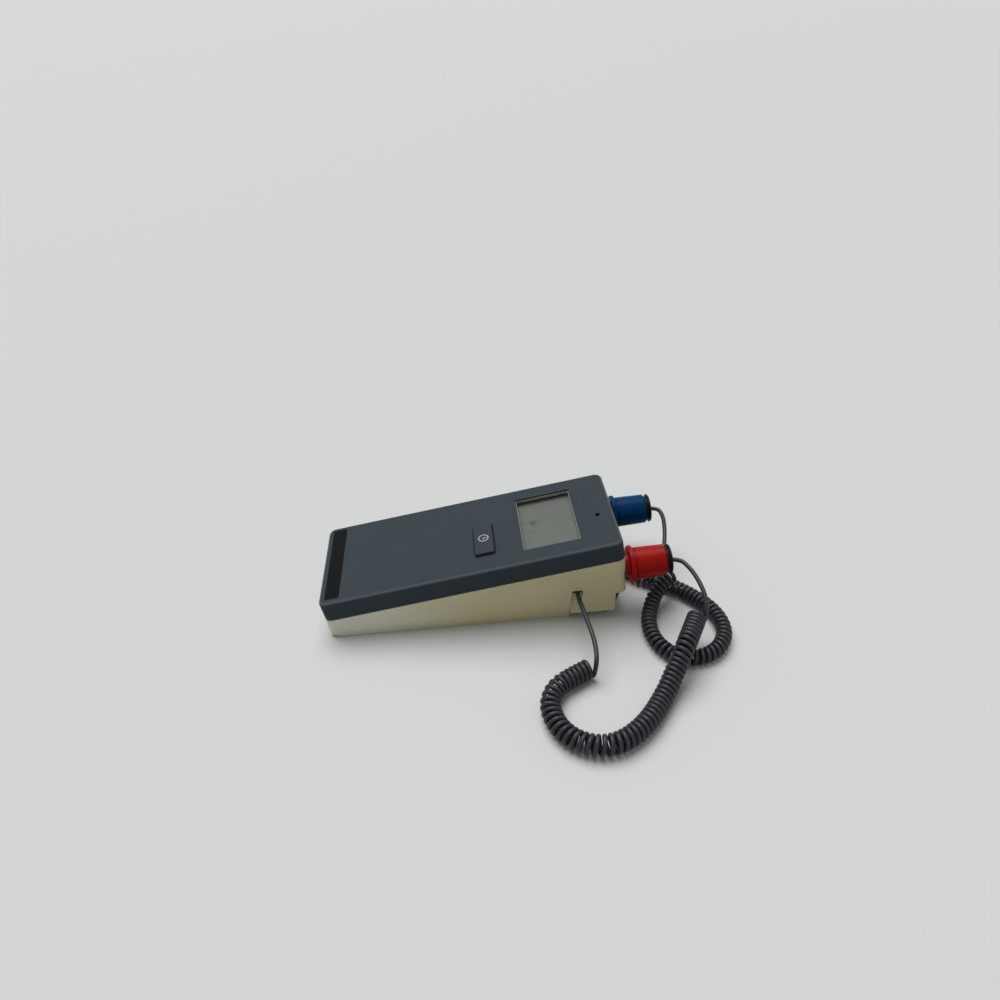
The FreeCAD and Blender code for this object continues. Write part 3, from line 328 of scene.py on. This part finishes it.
# the rounded rim of the top face, where it leans over to the sides, gets a painted highlight where it
# catches the light:
#  the limits are cosines of the lean from the top face
RIM_HIGHLIGHT_STARTS, RIM_HIGHLIGHT_FULL, RIM_HIGHLIGHT_SHARE = 0.99, 0.85, 0.65
SIDE_STARTS, SIDE_FULL = 0.6, 0.2
tree = slate_abs.node_tree
normal = put(tree, "NewGeometry", {}).outputs["Normal"]
cover_up = (on_cover(0, 0, 1) - on_cover(0, 0, 0)).normalized()
lean = dotted(tree, normal, cover_up)
from_top = graded(tree, lean, RIM_HIGHLIGHT_STARTS, RIM_HIGHLIGHT_FULL, 0.0, RIM_HIGHLIGHT_SHARE)
to_side = graded(tree, lean, SIDE_FULL, SIDE_STARTS)
rim_highlight = put(tree, "Math", {0: from_top, 1: to_side}, operation="MULTIPLY").outputs[0]
overlaid(slate_abs, rim_highlight, "#626A70")
film = moulded("printed_film_black", "#0C0D0F", "#101113", grain_mm=2.5, deep_mm=0.0005, rough=0.65,
               gloss=0.05)
dress(film, "label_strip")

# Push button: a key of the cover's own ABS that stands a little proud of it, held in by a hidden
#  skirt. A silicone dome on the board lifts it again, and a thin black ring round the key is painted
#  shade for the dark gap between key and cover.
# its edges are painted paler, partly as wear and partly as painted highlight
key_abs = moulded("key_abs_slate", "#363E45", "#333A40", grain_mm=0.6, deep_mm=0.006, rough=0.55,
                  gloss=0.08, worn_sheen="#4A5157")
dress(key_abs, "timer_button")
KEY, KEY_CORNER = (100.6, 112.5, -23.95, 5.55), 0.5
KEY_U, KEY_V = 106.55, -9.2
# the ring of painted shade lies on the cover all round the key, where the gap between key and cover is
# dark
GAP_SHADE_PROFILE = ((0.54, -2.3), (0.54, 0.01), (1.05, 0.01), (1.1, 0.08), (1.0, 0.16), (0.2, 0.16),
                (0.06, 0.04), (0.06, -2.3))
gap_shade_loops = [rounded(*KEY, out, KEY_CORNER, n) for out, n in GAP_SHADE_PROFILE]
gap_shade_ring = solid("timer_button_gap_shade", black_rubber_and_gap_shade, *lofted(gap_shade_loops, ring=True))


def about_key(radius, n, sides=40):
    """A circle about the middle of the key, in the plane of the top face."""
    turns = [k * math.tau / sides for k in range(sides)]
    return [on_cover(KEY_U + radius * math.cos(a), KEY_V + radius * math.sin(a), n) for a in turns]


# the dome is a cone with a closed top that stands on the board, drawn at rest: it is not made to give way
# as the key goes down
BOARD_N, DOME_H = -10.0, 4.68
DOME_PROFILE = ((2.0, 4.1), (2.0, 3.9), (3.4, 3.9), (5.8, 0), (6.6, 0), (4.4, DOME_H))
dome = solid("timer_button_dome", silicone, *lofted([about_key(r, BOARD_N + h) for r, h in DOME_PROFILE]))
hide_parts("button_dome")
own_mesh(dome)
# the printed mark is a plain clock face: a ring and two hands in pale ink, a tenth of a millimetre thick
ink = moulded("pad_printed_ink_pale", "#B9BEC2", "#A6ABAF", grain_mm=0.4, deep_mm=0.01, rough=0.6,
              gloss=0.2)
KEY_TOP, INK_TOP = 2.0, 2.1
RING_OUT, RING_IN = 3.4, 2.7
RING_PROFILE = ((RING_OUT, KEY_TOP), (RING_OUT, INK_TOP), (RING_IN, INK_TOP), (RING_IN, KEY_TOP))
HANDS = ((-0.3, -1.7), (0.3, -1.7), (0.3, -0.3), (2.05, -0.3), (2.05, 0.3), (-0.3, 0.3))
mark_verts, mark_faces = lofted([about_key(r, n) for r, n in RING_PROFILE], ring=True)
verts, faces = lofted([[on_cover(KEY_U + u, KEY_V + v, n) for u, v in HANDS] for n in (KEY_TOP, INK_TOP)])
mark_faces += [tuple(k + len(mark_verts) for k in face) for face in faces]
mark_verts += verts
clock_mark = solid("timer_button_mark", ink, mark_verts, mark_faces, body="timer_button")

# Probes and wells: each probe is a moulded grip with a flange and an eject button, on a thin drawn
# steel tube that stands in a moulded well in the housing. Red and blue tell the two apart.
red_plastic = moulded("red_grip_moulded", "#A3110C", "#940D08", grain_mm=1.2, deep_mm=0.006, rough=0.34,
                      gloss=0.1)
dress(red_plastic, "red_probe_grip")
blue_plastic = moulded("blue_grip_moulded", "#013864", "#01325A", grain_mm=1.2, deep_mm=0.006, rough=0.34,
                       gloss=0.05)
dress(blue_plastic, "blue_probe_grip")
black_plastic = moulded("black_cap_moulded", "#0C0D0E", "#131415", grain_mm=0.8, deep_mm=0.01, rough=0.45,
                        gloss=0.12)
dress(black_plastic, "red_eject_button", "blue_eject_button", "red_cord_plug", "blue_cord_plug")
well_plastic = moulded("well_polypropylene", "#3A3D40", "#34373A", grain_mm=1.0, deep_mm=0.01, rough=0.5)
dress(well_plastic, "red_well", "blue_well")
# drawing marks 0.3 mm apart, long in the tube's direction
stainless = worked_metal("stainless_tube_drawn", "#C6C7C8", stretch=(0.03, 1, 1), lines_per_m=3300.0,
                         smooth=0.16, rough=0.34)
dress(stainless, "red_probe_stem", "blue_probe_stem", "red_probe_tip", "blue_probe_tip",
      "red_eject_pins", "blue_eject_pins")
TILT = math.radians(5)
END_WALL, AXIS_UP, AXIS_OUT = 193.73, 16.8, 27.9
RED_SIDE, BLUE_SIDE = -1, 1


def on_probe(side, s_mm):
    """A point on a probe's axis, so far out from the end wall."""
    p, q = END_WALL + s_mm, AXIS_UP
    x, z = p * math.cos(TILT) - q * math.sin(TILT), p * math.sin(TILT) + q * math.cos(TILT)
    return design([(x, side * AXIS_OUT, z)])[0]


def curled(centre, radius, turns, phase, steps=22, nudge=0.02):
    """A helix round a centre line, its turns evenly spaced on the inside of each bend, where they press
    together, and the way that the wire heads at its two ends."""
    run = [0.0]
    for a, b, c in zip(centre, centre[1:], centre[2:] + centre[-1:]):
        run.append(run[-1] + (b - a).length - radius * (b - a).angle(c - b, 0.0))

    def at(turn):
        want = turn / turns * run[-1]
        i = next((k for k in range(len(run) - 1) if run[k + 1] >= want), len(run) - 2)
        middle = centre[i].lerp(centre[i + 1], (want - run[i]) / (run[i + 1] - run[i]))
        ahead = centre[min(i + 2, len(centre) - 1)] - centre[max(i - 1, 0)]
        side = Vector((ahead.y, -ahead.x, 0)).normalized()
        rise = side.cross(ahead).normalized()
        a = math.tau * (turn + phase)
        return middle + side * (radius * math.cos(a)) + rise * (radius * math.sin(a))

    points = [at(k / steps) for k in range(int(turns * steps) + 1)]
    return points, (at(nudge) - at(0)).normalized(), (at(turns) - at(turns - nudge)).normalized()


def tube(name, material, path, diameter, sides=10):
    """A round wire swept along a path, closed at both ends."""
    turns = [k * math.tau / sides for k in range(sides)]
    loops = []
    out = (path[1] - path[0]).normalized().orthogonal().normalized()
    for i, p in enumerate(path):
        ahead = (path[min(i + 1, len(path) - 1)] - path[max(i - 1, 0)]).normalized()
        out = (out - ahead * out.dot(ahead)).normalized()
        over = ahead.cross(out)
        loops.append([p + (out * math.cos(a) + over * math.sin(a)) * (diameter / 2) for a in turns])
    return meshed(name, material, *lofted(loops))


# the return spring stands on the grip's inner wall and is drawn at rest, not shortened as the eject
# button is pressed:
#  the middle of its wire keeps a small gap from the wall and from the button
SPRING_SEAT, SPRING_END, EJECT_TRAVEL = 13.3, 26.35, 1.6
SEAT_GAP, END_GAP = 0.45, 0.4
SPRING_WIRE_D, SPRING_RADIUS, SPRING_TURNS, SPRING_PHASE = 0.0008, 0.0038, 5, 0.25
for colour, side in (("red", RED_SIDE), ("blue", BLUE_SIDE)):
    ends = [on_probe(side, SPRING_SEAT + SEAT_GAP), on_probe(side, SPRING_END - END_GAP)]
    helix = curled(ends, SPRING_RADIUS, SPRING_TURNS, SPRING_PHASE)[0]
    spring = tube(colour + "_eject_spring_wire", nickel, helix, SPRING_WIRE_D)
    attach(spring, colour + "_probe")
    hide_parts(colour + "_eject_spring")
    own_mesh(spring)

# Cords: dark grey PVC-jacketed wire, wound hot into a curl that springs back, with a straight lead
# at each end. One end is plugged in behind the slot in the housing, the other is held in the probe.
WIRE_D = 0.0028
ROUTE_STEPS = 16
# how far out from the end wall a cord is held in its probe, and where it leaves it
CORD_HELD, CORD_LEAVES = 19.3, 34.9
RED_RADIUS, RED_TURNS, RED_PHASE, RED_LIES = 0.0047, 56.5, 0.5, 6.3
BLUE_RADIUS, BLUE_TURNS, BLUE_PHASE, BLUE_LIES = 0.0036, 62.0, 0.25, 5.2
# how far a lead keeps the curl's heading where it meets the curl's start and its end
RED_EASE_IN, RED_EASE_OUT = 0.009, 0.005
BLUE_EASE_IN, BLUE_EASE_OUT = 0.008, 0.005


def along(controls):
    """Points along the smooth spline of a route."""
    curve = bpy.data.curves.new("route", "CURVE")
    curve.dimensions = "3D"
    curve.resolution_u = ROUTE_STEPS
    spline = curve.splines.new("NURBS")
    spline.points.add(len(controls) - 1)
    for point, c in zip(spline.points, controls):
        point.co = (c.x, c.y, c.z, 1)
    spline.order_u = 3
    spline.use_endpoint_u = True
    holder = bpy.data.objects.new("route", curve)
    mesh = bpy.data.meshes.new_from_object(holder)
    points = [v.co.copy() for v in mesh.vertices]
    bpy.data.objects.remove(holder)
    bpy.data.curves.remove(curve)
    bpy.data.meshes.remove(mesh)
    return points


def lying(height, *points):
    """Points of a curl that lies on the table, with its centre at one height."""
    return [(x, y, height) for x, y in points]


def joined(*runs):
    """One path from several, without doubled points."""
    path = list(runs[0])
    for run in runs[1:]:
        path += run[1:]
    return path


def drawn_out(cord, lean):
    """Bakes the cord's placement into its points; the lead is not made to stretch with the probe. The
    lean is not used."""
    lean = Vector(lean)
    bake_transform(cord)


pvc = moulded("pvc_cord_jacket", "#212429", "#2B2F35", grain_mm=1.6, deep_mm=0.01, rough=0.42,
              drift_mm=6.0, edge_mm=0.05, gloss=0.35)
red_centre = along(design(lying(
    RED_LIES, (160.8, -86.5), (150, -92), (139.5, -98.5), (133.8, -109), (134.3, -121), (139.5, -132),
    (149, -139.5), (161, -142), (173, -138), (186, -128), (199, -111.5)) + [
    (208, -99, 12), (216, -88, 18.8), (223, -76.5, 19.2), (230.5, -63.5, 19.2)]))
red_curl, red_start, red_end = curled(red_centre, RED_RADIUS, RED_TURNS, RED_PHASE)
red_slot_lead = along(
    design([(160.9, -36, 22.8), (160.9, -44, 22.8), (162.4, -55, 21), (164.4, -67, 18.5),
            (165.4, -78.5, 16.5)]) +
    [red_curl[0] - red_start * RED_EASE_IN, red_curl[0]])
red_probe_lead = along(
    [red_curl[-1], red_curl[-1] + red_end * RED_EASE_OUT] +
    design([(236, -58, 30), (234.5, -48, 33.5), (231.5, -38, 36)]) +
    [on_probe(RED_SIDE, CORD_LEAVES), on_probe(RED_SIDE, CORD_HELD)])
red_path = joined(red_slot_lead, red_curl, red_probe_lead)
red_cord = tube("red_probe_cord", pvc, red_path, WIRE_D)
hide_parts("red_case_lead", "red_coil", "red_probe_lead")
drawn_out(red_cord, lean=(0.4, 0.85, 0.3))

blue_centre = along(design([(226, -21.5, 16.6), (216, -27, 12)] + lying(
    BLUE_LIES, (207.5, -41), (203.5, -56), (205.5, -71), (214.5, -82), (227, -84.5), (239.5, -79.5),
    (248, -69), (250.5, -56), (247, -42), (239, -30), (229, -19.5), (218, -13), (208, -8), (202.5, 1),
    (201.5, 13))))
blue_curl, blue_start, blue_end = curled(blue_centre, BLUE_RADIUS, BLUE_TURNS, BLUE_PHASE)
blue_probe_lead = along(
    [on_probe(BLUE_SIDE, CORD_HELD), on_probe(BLUE_SIDE, CORD_LEAVES)] +
    design([(229.5, 20, 35), (228.5, 9, 29.5), (225.5, -2, 24.5)]) +
    [blue_curl[0] - blue_start * BLUE_EASE_IN, blue_curl[0]])
blue_slot_lead = along(
    [blue_curl[-1], blue_curl[-1] + blue_end * BLUE_EASE_OUT] +
    design([(190, 17, 2.2), (182, 23, 1.7), (173, 33, 1.7), (167, 44, 2.2), (162.5, 53, 7),
            (160.9, 53.5, 16), (160.9, 47, 22.8), (160.9, 36, 22.8)]))
blue_path = joined(blue_probe_lead, blue_curl, blue_slot_lead)[::-1]
blue_cord = tube("blue_probe_cord", pvc, blue_path, WIRE_D)
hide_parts("blue_case_lead", "blue_coil", "blue_probe_lead")
drawn_out(blue_cord, lean=(0.6, 0.7, 0.4))

# Studio: a pale seamless paper floor under one broad soft light, with the sky's even fill. The
# camera stands where the photograph was taken from.
FLOOR_HALF, PAPER_TONE = 40, "#D3D5D4"
floor_mesh = bpy.data.meshes.new("floor")
corners = [(-FLOOR_HALF, -FLOOR_HALF, 0), (FLOOR_HALF, -FLOOR_HALF, 0), (FLOOR_HALF, FLOOR_HALF, 0),
           (-FLOOR_HALF, FLOOR_HALF, 0)]
floor_mesh.from_pydata(corners, [], [(0, 1, 2, 3)])
floor = bpy.data.objects.new("floor", floor_mesh)
scene.collection.objects.link(floor)
paper, shader = blank("floor_paper")
shader.inputs["Base Color"].default_value = linear(PAPER_TONE)
shader.inputs["Roughness"].default_value = 0.7
shader.inputs["Specular IOR Level"].default_value = 0.2
floor_mesh.materials.append(paper)

world = bpy.data.worlds.new("studio")
scene.world = world
world.use_nodes = True
tree = world.node_tree
sky = tree.nodes["Background"]
sky.inputs["Color"].default_value = linear("#F4F6F6")
sky.inputs["Strength"].default_value = 0.28
# the eye, and what is seen in gloss or through the pane, meets the floor's own pale tone
beyond = put(tree, "Background", {"Color": linear(PAPER_TONE), "Strength": 1.0})
ray = put(tree, "LightPath", {}).outputs
seen = ray["Is Camera Ray"]
for other in ("Is Glossy Ray", "Is Transmission Ray"):
    seen = put(tree, "Math", {0: seen, 1: ray[other]}, operation="MAXIMUM").outputs[0]
both = put(tree, "MixShader", {0: seen, 1: sky.outputs[0], 2: beyond.outputs[0]})
tree.links.new(both.outputs[0], tree.nodes["World Output"].inputs[0])

LIGHT_HEADING = Vector((0.2, -0.38, -1))
overhead = bpy.data.lights.new("overhead_light", "SUN")
overhead.energy = 2.5
overhead.angle = math.radians(50)
overhead_holder = bpy.data.objects.new("overhead_light", overhead)
overhead_holder.rotation_euler = LIGHT_HEADING.to_track_quat("-Z", "Y").to_euler()
scene.collection.objects.link(overhead_holder)

CAMERA_AT = Vector((-0.0214, -0.3967, 0.3479))
camera = bpy.data.cameras.new("photo_camera")
camera.sensor_fit = "HORIZONTAL"
camera.sensor_width = 36.0
camera.lens = 27.72
camera.clip_start = 0.01
view = bpy.data.objects.new("photo_camera", camera)
ahead = Vector((0.055, 0.818, -0.572)).normalized()
right = Vector((0.996, -0.083, -0.023))
right = (right - ahead * right.dot(ahead)).normalized()
up = right.cross(ahead)
turned = Matrix((right, up, -ahead)).transposed().to_4x4()
view.matrix_world = Matrix.Translation(CAMERA_AT) @ turned
scene.collection.objects.link(view)
scene.camera = view
scene.view_settings.view_transform = "Standard"
